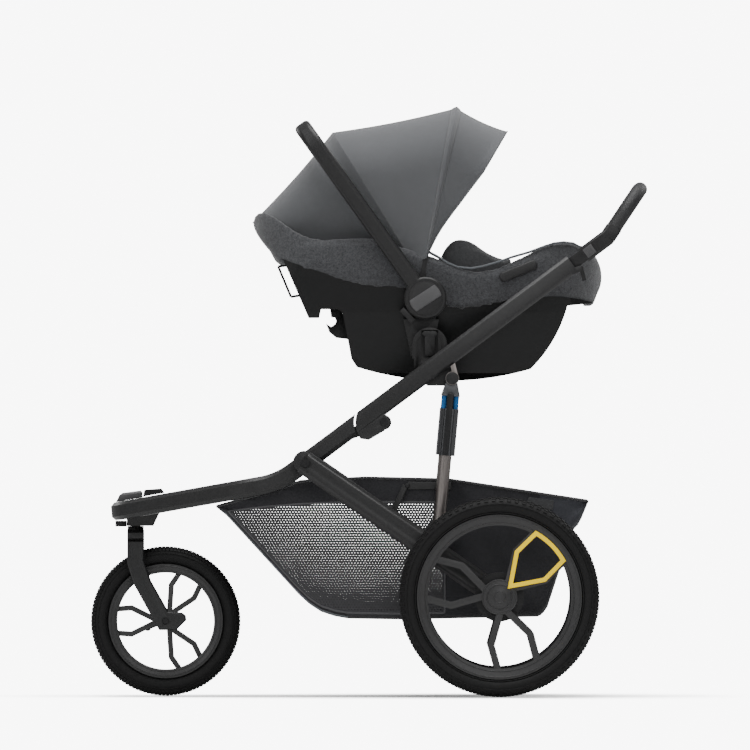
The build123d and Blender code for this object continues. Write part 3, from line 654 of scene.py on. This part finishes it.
# a round tube along a line of points, such as piping or a seam cord
def tubeAlong(name, points, radius, material):
    data = bpy.data.curves.new(name, "CURVE")
    data.dimensions = "3D"
    data.bevel_depth = radius
    data.bevel_resolution = 2
    data.use_fill_caps = True
    line = data.splines.new("POLY")
    line.points.add(len(points) - 1)
    for target, point in zip(line.points, points):
        target.co = (*point, 1)
    piece = bpy.data.objects.new(name, data)
    bpy.context.scene.collection.objects.link(piece)
    pick(piece)
    bpy.ops.object.convert(target="MESH")
    piece = bpy.context.object
    outward(piece)
    return settle(piece, name, material, None, 60)


def hoopLine(hoop):
    shape = canopyShape
    angle = shape["angle"][hoop]
    turn = math.radians(angle)
    flat = hoopPoints(shape["half"][hoop], shape["crown"][hoop], footAt(angle))
    return [(shape["pivot"][0] + math.cos(turn) * h, y, shape["pivot"][1] + math.sin(turn) * h)
            for y, h in flat]


# the visor's free edge: up its curved side from the front hoop, over the crown and down again
def visorRim():
    shape = canopyShape
    first, last = shape["angle"]["front"], shape["angle"]["visor"]
    side = []
    for step in range(12):
        t = step / 12
        angle = first + (last - first) * t
        half = shape["half"]["front"] * (1 - t) + shape["half"]["visor"] * t
        x, _, z = canopyPoint(angle, footAt(angle))
        side.append((x, -half, z))
    return side + hoopLine("visor") + [(x, -y, z) for x, y, z in reversed(side)]


visorEdge = tubeAlong("visorEdge", visorRim(), 0.0016, finish["canopy_fabric"])
start, end = acrossHoop("front", *canopyShape["bend"]["visor"])
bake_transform(visorEdge)
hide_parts("canopy_visor_wire")
print("canopy edged")


# height of a line of points of the side plane
def heightAt(pairs, x):
    for (low, first), (high, second) in zip(pairs[:-1], pairs[1:]):
        if x <= high:
            share = max(0, (x - low) / (high - low))
            return first + (second - first) * share
    return pairs[-1][1]


# the lower edge of the seat's fabric, and its upper rim behind the canopy
coverEdge = [(-0.178, 0.889), (-0.095, 0.861), (0.025, 0.835), (0.069, 0.830), (0.120, 0.812), (0.160, 0.795),
             (0.206, 0.793), (0.284, 0.808), (0.355, 0.813), (0.452, 0.801)]
coverRim = [(0.108, 0.910), (0.118, 0.904), (0.137, 0.894), (0.159, 0.880), (0.178, 0.872), (0.206, 0.869),
            (0.229, 0.873), (0.261, 0.882), (0.288, 0.892), (0.323, 0.902), (0.355, 0.914), (0.374, 0.920),
            (0.394, 0.9225), (0.414, 0.920), (0.430, 0.911)]
puffing = {"voxel": 0.0045, "pressure": 4.0, "frames": 20, "lapRise": 0.016, "lapFade": 0.012}


# padded cloth: the plain solid remeshed, smoothed and blown up a little by cloth simulation
def puffed(node, name, material, cap, smoothing, lap=0.0):
    piece = copyOfNode(node, name)
    useModifier(piece, "REMESH", mode="VOXEL", voxel_size=puffing["voxel"])
    useModifier(piece, "SMOOTH", factor=0.5, iterations=smoothing)
    rest = [v.co.copy() for v in piece.data.vertices]
    pick(piece)
    cloth = piece.modifiers.new("Cloth", "CLOTH")
    cloth.settings.use_pressure = True
    cloth.settings.uniform_pressure_force = puffing["pressure"]
    cloth.settings.effector_weights.gravity = 0
    cloth.settings.quality = 4
    cloth.point_cache.frame_end = puffing["frames"] + 2
    for frameNumber in range(1, puffing["frames"] + 1):
        bpy.context.scene.frame_set(frameNumber)
    bpy.ops.object.modifier_apply(modifier=cloth.name)
    bpy.context.scene.frame_set(1)
    for vertex, before in zip(piece.data.vertices, rest):
        move = vertex.co - before
        if move.length > cap:
            vertex.co = before + move * (cap / move.length)
    useModifier(piece, "SMOOTH", factor=0.5, iterations=2)
    for vertex in piece.data.vertices:
        over = lap and heightAt(coverEdge, vertex.co.x) + puffing["lapRise"] - vertex.co.z
        if over > 0:
            share = min(1, over / puffing["lapFade"])
            vertex.co.z -= lap * share
            vertex.co.y *= 1 + 0.008 * share
            vertex.co.x += 0.0012 * share * (1 if vertex.co.x > 0.1 else -1)
    useModifier(piece, "SUBSURF", levels=1, render_levels=1)
    settle(piece, name, material, bodyOf[node], 60)
    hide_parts(node)


puffed("seat_cover", "seatCover", finish["melange_fabric"], 0.004, 2, lap=0.009)
puffed("seat_pad", "seatPad", finish["pad_fabric"], 0.006, 6)
roundEdges("harness", 0.0008)
for side, hand in sides.items():
    rim = []
    for x, z in coverRim:
        rounding = max(0.0, x - 0.365)
        rim.append((x, hand * (0.0655 + math.sqrt(0.110 ** 2 - rounding ** 2)), z + 0.0005))
    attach(tubeAlong("coverPiping" + side, rim, 0.0022, pipingCloth), "carrier")
print("seat built")


bagShape = {
    "half": 0.203, "corner": 0.022, "thick": 0.0012,
    "top": [(-0.311, 0.386), (-0.20, 0.417), (-0.14, 0.437), (-0.009, 0.444), (0.164, 0.440), (0.444, 0.397)],
    "bottom": [(-0.311, 0.385), (-0.290, 0.368), (-0.144, 0.208), (-0.122, 0.188), (-0.099, 0.173),
               (-0.072, 0.164), (-0.044, 0.159), (0.062, 0.157), (0.345, 0.163), (0.360, 0.178),
               (0.412, 0.338), (0.426, 0.352), (0.444, 0.396)],
    "seam": [(-0.311, 0.371), (-0.216, 0.383), (-0.144, 0.389), (-0.055, 0.393), (0.5, 0.393)],
    "windowEnd": 0.150, "windowMargin": 0.011, "cuffStart": 0.345, "cuffFoot": 0.355, "cuffSlope": 0.2,
    "sink": 0.004, "wrinkle": 0.0015, "floorSag": 0.001,
    "columns": 110, "sideRows": 26, "cornerRows": 5, "floorRows": 14,
}


# half of the bag's cross-section at one place along it, from the rim down to the middle of the floor
def bagSection(x):
    shape = bagShape
    top, bottom = heightAt(shape["top"], x), heightAt(shape["bottom"], x)
    corner = min(shape["corner"], (top - bottom) * 0.45)
    section = []
    for i in range(shape["sideRows"]):
        share = i / shape["sideRows"]
        z = top - (top - bottom - corner) * share
        sink = (shape["sink"] * math.sin(math.pi * share) * math.sin(x * 9 + 0.6)
                + shape["wrinkle"] * math.sin(x * 61 + z * 40))
        section.append((shape["half"] - abs(sink), z, share))
    for i in range(shape["cornerRows"]):
        turn = math.pi / 2 * i / shape["cornerRows"]
        section.append((shape["half"] - corner * (1 - math.cos(turn)),
                        bottom + corner * (1 - math.sin(turn)), 1))
    for i in range(shape["floorRows"] + 1):
        share = i / shape["floorRows"]
        sag = shape["floorSag"] * math.sin(math.pi * share)
        section.append(((shape["half"] - corner) * (1 - share), bottom - sag, 2))
    return section


def buildBag():
    shape = bagShape
    points, window, cuff = [], [], []
    first, last = shape["bottom"][0][0], shape["bottom"][-1][0]
    for column in range(shape["columns"] + 1):
        x = first + (last - first) * column / shape["columns"]
        half = bagSection(x)
        whole = [(-y, z, part) for y, z, part in half] + [(y, z, part) for y, z, part in reversed(half[:-1])]
        rows = len(whole)
        for y, z, part in whole:
            points.append((x, y, z))
            inside = min(heightAt(shape["seam"], x) - z, shape["windowEnd"] - x,
                         (z - heightAt(shape["bottom"], x)) * 0.72 - shape["windowMargin"])
            window.append(inside if part <= 1 else -1)
            behind = x - shape["cuffStart"]
            above = z - (shape["cuffFoot"] - behind * shape["cuffSlope"])
            cuff.append(min(behind, above) if x > 0.2 else -1)
    faces = []
    for column in range(shape["columns"]):
        for row in range(rows - 1):
            a = column * rows + row
            faces.append((a, a + 1, a + rows + 1, a + rows))
    piece = meshPiece("bag", points, faces)
    for name, values in (("window", window), ("cuff", cuff)):
        piece.data.attributes.new(name, "FLOAT", "POINT").data.foreach_set("value", values)
    if piece.data.polygons[shape["columns"] // 2 * (rows - 1) + 3].normal.y > 0:
        piece.data.flip_normals()
    print("bag area", round(sum(face.area for face in piece.data.polygons), 4))
    useModifier(piece, "SOLIDIFY", thickness=shape["thick"], offset=-1)
    settle(piece, "bag", finish["basket_fabric"], None, 60)
    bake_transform(piece)
    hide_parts("basket")
    return piece


bag = buildBag()


def rimLine(pairs, y, steps=40, lift=0.0):
    low, high = pairs[0][0], pairs[-1][0]
    return [(low + (high - low) * i / steps, y, heightAt(pairs, low + (high - low) * i / steps) + lift)
            for i in range(steps + 1)]


for side, hand in sides.items():
    edge = tubeAlong("bagRim" + side, rimLine(bagShape["top"], hand * 0.2032), 0.0022, finish["pad_fabric"])
    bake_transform(edge)
    edge = tubeAlong("bagPiping" + side, rimLine(bagShape["bottom"][:7], hand * 0.1995, 30, 0.003), 0.0016,
                     pipingCloth)
    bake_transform(edge)
print("bag built")


# rounded boxes on both sides: place on the right side, size, turn in the side plane, and rounding
smallBlocks = {
    "gripSlot": {"place": (0.302, 0.178, 0.864), "size": (0.082, 0.008, 0.021), "turn": 22, "bevel": 0.0035,
                 "corner": 0.47, "paint": darkTrim, "body": "carrier", "slot": "black_plastic"},
    "bagLabel": {"place": (0.347, 0.2035, 0.392), "size": (0.052, 0.002, 0.020), "turn": -8, "bevel": 0.0009,
                 "corner": 0.12, "paint": finish["pad_fabric"], "body": "rear_frame", "slot": "pad_fabric"},
    "bagBar": {"place": (0.122, 0.2050, 0.4285), "size": (0.088, 0.003, 0.016), "turn": 0, "bevel": 0.0013,
               "corner": 0.12, "paint": darkTrim, "body": "rear_frame", "slot": "black_plastic"},
    "bagStrap": {"place": (0.056, 0.2050, 0.392), "size": (0.082, 0.003, 0.012), "turn": 66, "bevel": 0.0012,
                 "corner": 0.12, "paint": darkTrim, "body": "rear_frame", "slot": "black_plastic"},
    "shockStrap": {"place": (0.1588, 0.2525, 0.553), "size": (0.0125, 0.005, 0.126), "turn": -5.15,
                   "bevel": 0.0012, "corner": 0.12, "paint": finish["dark_steel"], "body": "shocks",
                   "slot": "sleeve_metal"},
}


def smallBlock(name, side):
    block = smallBlocks[name]
    size = block["size"]
    x, y, z = block["place"]
    clearSelection()
    bpy.ops.mesh.primitive_cube_add(size=1, location=(x, sides[side] * y, z),
                                    rotation=(0, -math.radians(block["turn"]), 0))
    piece = bpy.context.object
    piece.scale = size
    bpy.ops.object.transform_apply(location=True, rotation=True, scale=True)
    edit(piece)
    bpy.ops.mesh.select_mode(type="EDGE")
    bpy.ops.mesh.select_all(action="DESELECT")
    bpy.ops.object.mode_set(mode="OBJECT")
    for line in piece.data.edges:
        start, end = (piece.data.vertices[i].co for i in line.vertices)
        line.select = abs(start.y - end.y) > size[1] * 0.9
    bpy.ops.object.mode_set(mode="EDIT")
    bpy.ops.mesh.bevel(offset=min(size[0], size[2]) * block["corner"], segments=7)
    bpy.ops.object.mode_set(mode="OBJECT")
    useModifier(piece, "BEVEL", width=block["bevel"], segments=3, limit_method="ANGLE",
                angle_limit=math.radians(50))
    settle(piece, name + side, block["paint"], block["body"], 40)


bossShape = {"place": (0.1677, 0.2503, 0.6462), "radius": 0.0128, "depth": 0.003, "bevel": 0.0009}


# the round cap over a shock's upper bolt
def shockBoss(side):
    x, y, z = bossShape["place"]
    clearSelection()
    bpy.ops.mesh.primitive_cylinder_add(vertices=48, radius=bossShape["radius"], depth=bossShape["depth"],
                                        rotation=(math.pi / 2, 0, 0), location=(x, sides[side] * y, z))
    boss = bpy.context.object
    useModifier(boss, "BEVEL", width=bossShape["bevel"], segments=3, limit_method="ANGLE")
    settle(boss, "shockBoss" + side, finish["black_plastic"], "upper_frame", 40)


rivetShape = {"place": (0.0765, 0.2062, 0.4285), "radius": 0.0055, "flatness": 0.4}


# the domed rivet that holds the strap to the bag's rim
def bagRivet(side):
    x, y, z = rivetShape["place"]
    clearSelection()
    bpy.ops.mesh.primitive_uv_sphere_add(segments=20, ring_count=10, radius=rivetShape["radius"],
                                         location=(x, sides[side] * y, z))
    rivet = bpy.context.object
    rivet.scale = (1, rivetShape["flatness"], 1)
    settle(rivet, "bagRivet" + side, finish["dark_steel"], "rear_frame", 60)


for side in sides:
    for blockName in smallBlocks:
        smallBlock(blockName, side)
    shockBoss(side)
    bagRivet(side)
print("small pieces built")


stageSizes = {"floor": 60, "under": 0.0005, "white": 8.5, "fill": 0.36, "shadeReach": 0.45, "shadeDepth": 3.2,
              "lens": 1500, "reach": 63.6, "aim": (0.011, 0, 0.653)}


def buildStage():
    clearSelection()
    bpy.ops.mesh.primitive_plane_add(size=stageSizes["floor"], location=(0, 0, -stageSizes["under"]))
    floor = bpy.context.object
    floor.name = "floor"
    # seen directly the floor glows evenly, with a painted contact shadow that dims it where something stands
    # close over it
    material, shader, place = startMaterial("paleFloor", (0.8, 0.8, 0.8), 0.85)
    tree = material.node_tree
    place.noise(3).between((0.78, 0.78, 0.78, 1), (0.82, 0.82, 0.82, 1)).feed(shader, "Base Color")
    reach = {"Distance": stageSizes["shadeReach"]}
    # ambient occlusion sets how deep the painted contact shadow is
    near = place.node("ShaderNodeAmbientOcclusion", {"samples": 8}, reach, "AO")
    glow = near.of("POWER", stageSizes["shadeDepth"]) * stageSizes["white"]
    shown = place.node("ShaderNodeEmission", {}, {"Strength": glow})
    seen = place.node("ShaderNodeLightPath", {}, {}, "Is Camera Ray")
    mixed = place.node("ShaderNodeMixShader", {}, {0: seen, 1: Wire(tree, shader.outputs[0]), 2: shown})
    tree.links.new(mixed.socket, tree.nodes["Material Output"].inputs[0])
    floor.data.materials.append(material)

    world = bpy.data.worlds.new("studio")
    bpy.context.scene.world = world
    world.use_nodes = True
    tree = world.node_tree
    tree.nodes.clear()
    start = Wire(tree)
    seen = start.node("ShaderNodeLightPath", {}, {}, "Is Camera Ray")
    lit = start.node("ShaderNodeBackground", {}, {"Color": (1, 1, 1, 1), "Strength": stageSizes["fill"]})
    shown = start.node("ShaderNodeBackground", {}, {"Color": (1, 1, 1, 1), "Strength": stageSizes["white"]})
    mixed = start.node("ShaderNodeMixShader", {}, {0: seen, 1: lit, 2: shown})
    tree.links.new(mixed.socket, tree.nodes.new("ShaderNodeOutputWorld").inputs[0])

    softBoxes = {
        "overhead": {"place": (0.1, -0.6, 3.4), "size": 2.4, "power": 115},
        "frontLeft": {"place": (-2.6, -3.0, 2.2), "size": 1.8, "power": 34},
        "front": {"place": (0.9, -4.2, 2.4), "size": 2.2, "power": 34},
        "backRight": {"place": (2.6, 2.2, 2.6), "size": 1.6, "power": 40},
        "backLeft": {"place": (-2.6, 2.4, 2.0), "size": 1.4, "power": 28},
    }
    for name, box in softBoxes.items():
        light = bpy.data.lights.new(name, "AREA")
        light.shape = "SQUARE"
        light.size = box["size"]
        light.energy = box["power"]
        lamp = bpy.data.objects.new(name, light)
        bpy.context.scene.collection.objects.link(lamp)
        lamp.location = box["place"]
        lamp.rotation_euler = (Vector((0, 0, 0.6)) - lamp.location).to_track_quat("-Z", "Y").to_euler()

    lens = bpy.data.cameras.new("camera")
    lens.lens = stageSizes["lens"]
    lens.sensor_width = 36
    lens.clip_end = 400
    camera = bpy.data.objects.new("camera", lens)
    bpy.context.scene.collection.objects.link(camera)
    aim = Vector(stageSizes["aim"])
    camera.location = aim + Vector((0, -stageSizes["reach"], 0))
    camera.rotation_euler = (math.pi / 2, 0, 0)
    bpy.context.scene.camera = camera


buildStage()
print("stage built")
